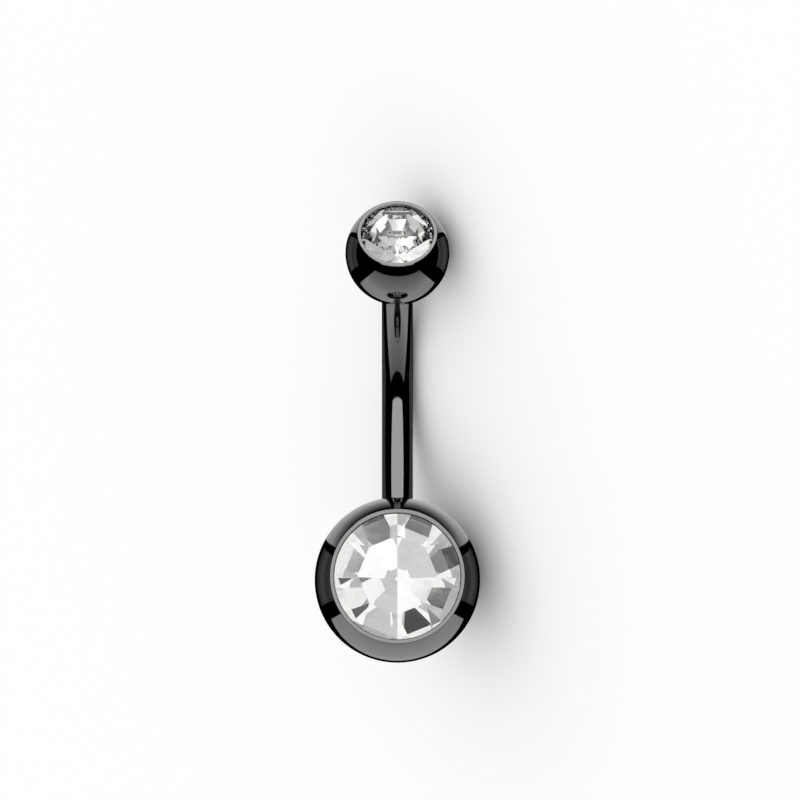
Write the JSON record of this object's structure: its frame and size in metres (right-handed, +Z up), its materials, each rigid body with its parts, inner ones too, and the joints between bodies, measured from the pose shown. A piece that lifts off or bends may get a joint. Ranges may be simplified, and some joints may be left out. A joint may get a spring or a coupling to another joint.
{
  "type": "navel ring",
  "caption": "Curved belly bar with a large ball and a small ball, each set with a round faceted stone. The small ball unscrews, so that the bar can pass through a navel piercing.",
  "frame": {"origin": "centre of the bottom of the bounding box, on the surface that the ring lies on", "axes": "+Z up, +X from the large ball to the small ball"},
  "size_m": [0.0226, 0.008, 0.008],
  "materials": {
    "black_steel": "mirror-polished surgical steel with a black PVD coating",
    "crystal": "clear cut crystal glass with a silver foil back"
  },
  "bodies": {
    "barbell": {"bar": "black_steel", "lower_ball": "black_steel", "lower_stone": "crystal"},
    "screw_ball": {"upper_ball": "black_steel", "upper_stone": "crystal"}
  },
  "joints": [
    {"name": "unscrew", "type": "slide", "parent": "barbell", "child": "screw_ball", "axis": [0.7888, -0.5332, 0.3058], "range_m": [0, 0.0021]}
  ]
}
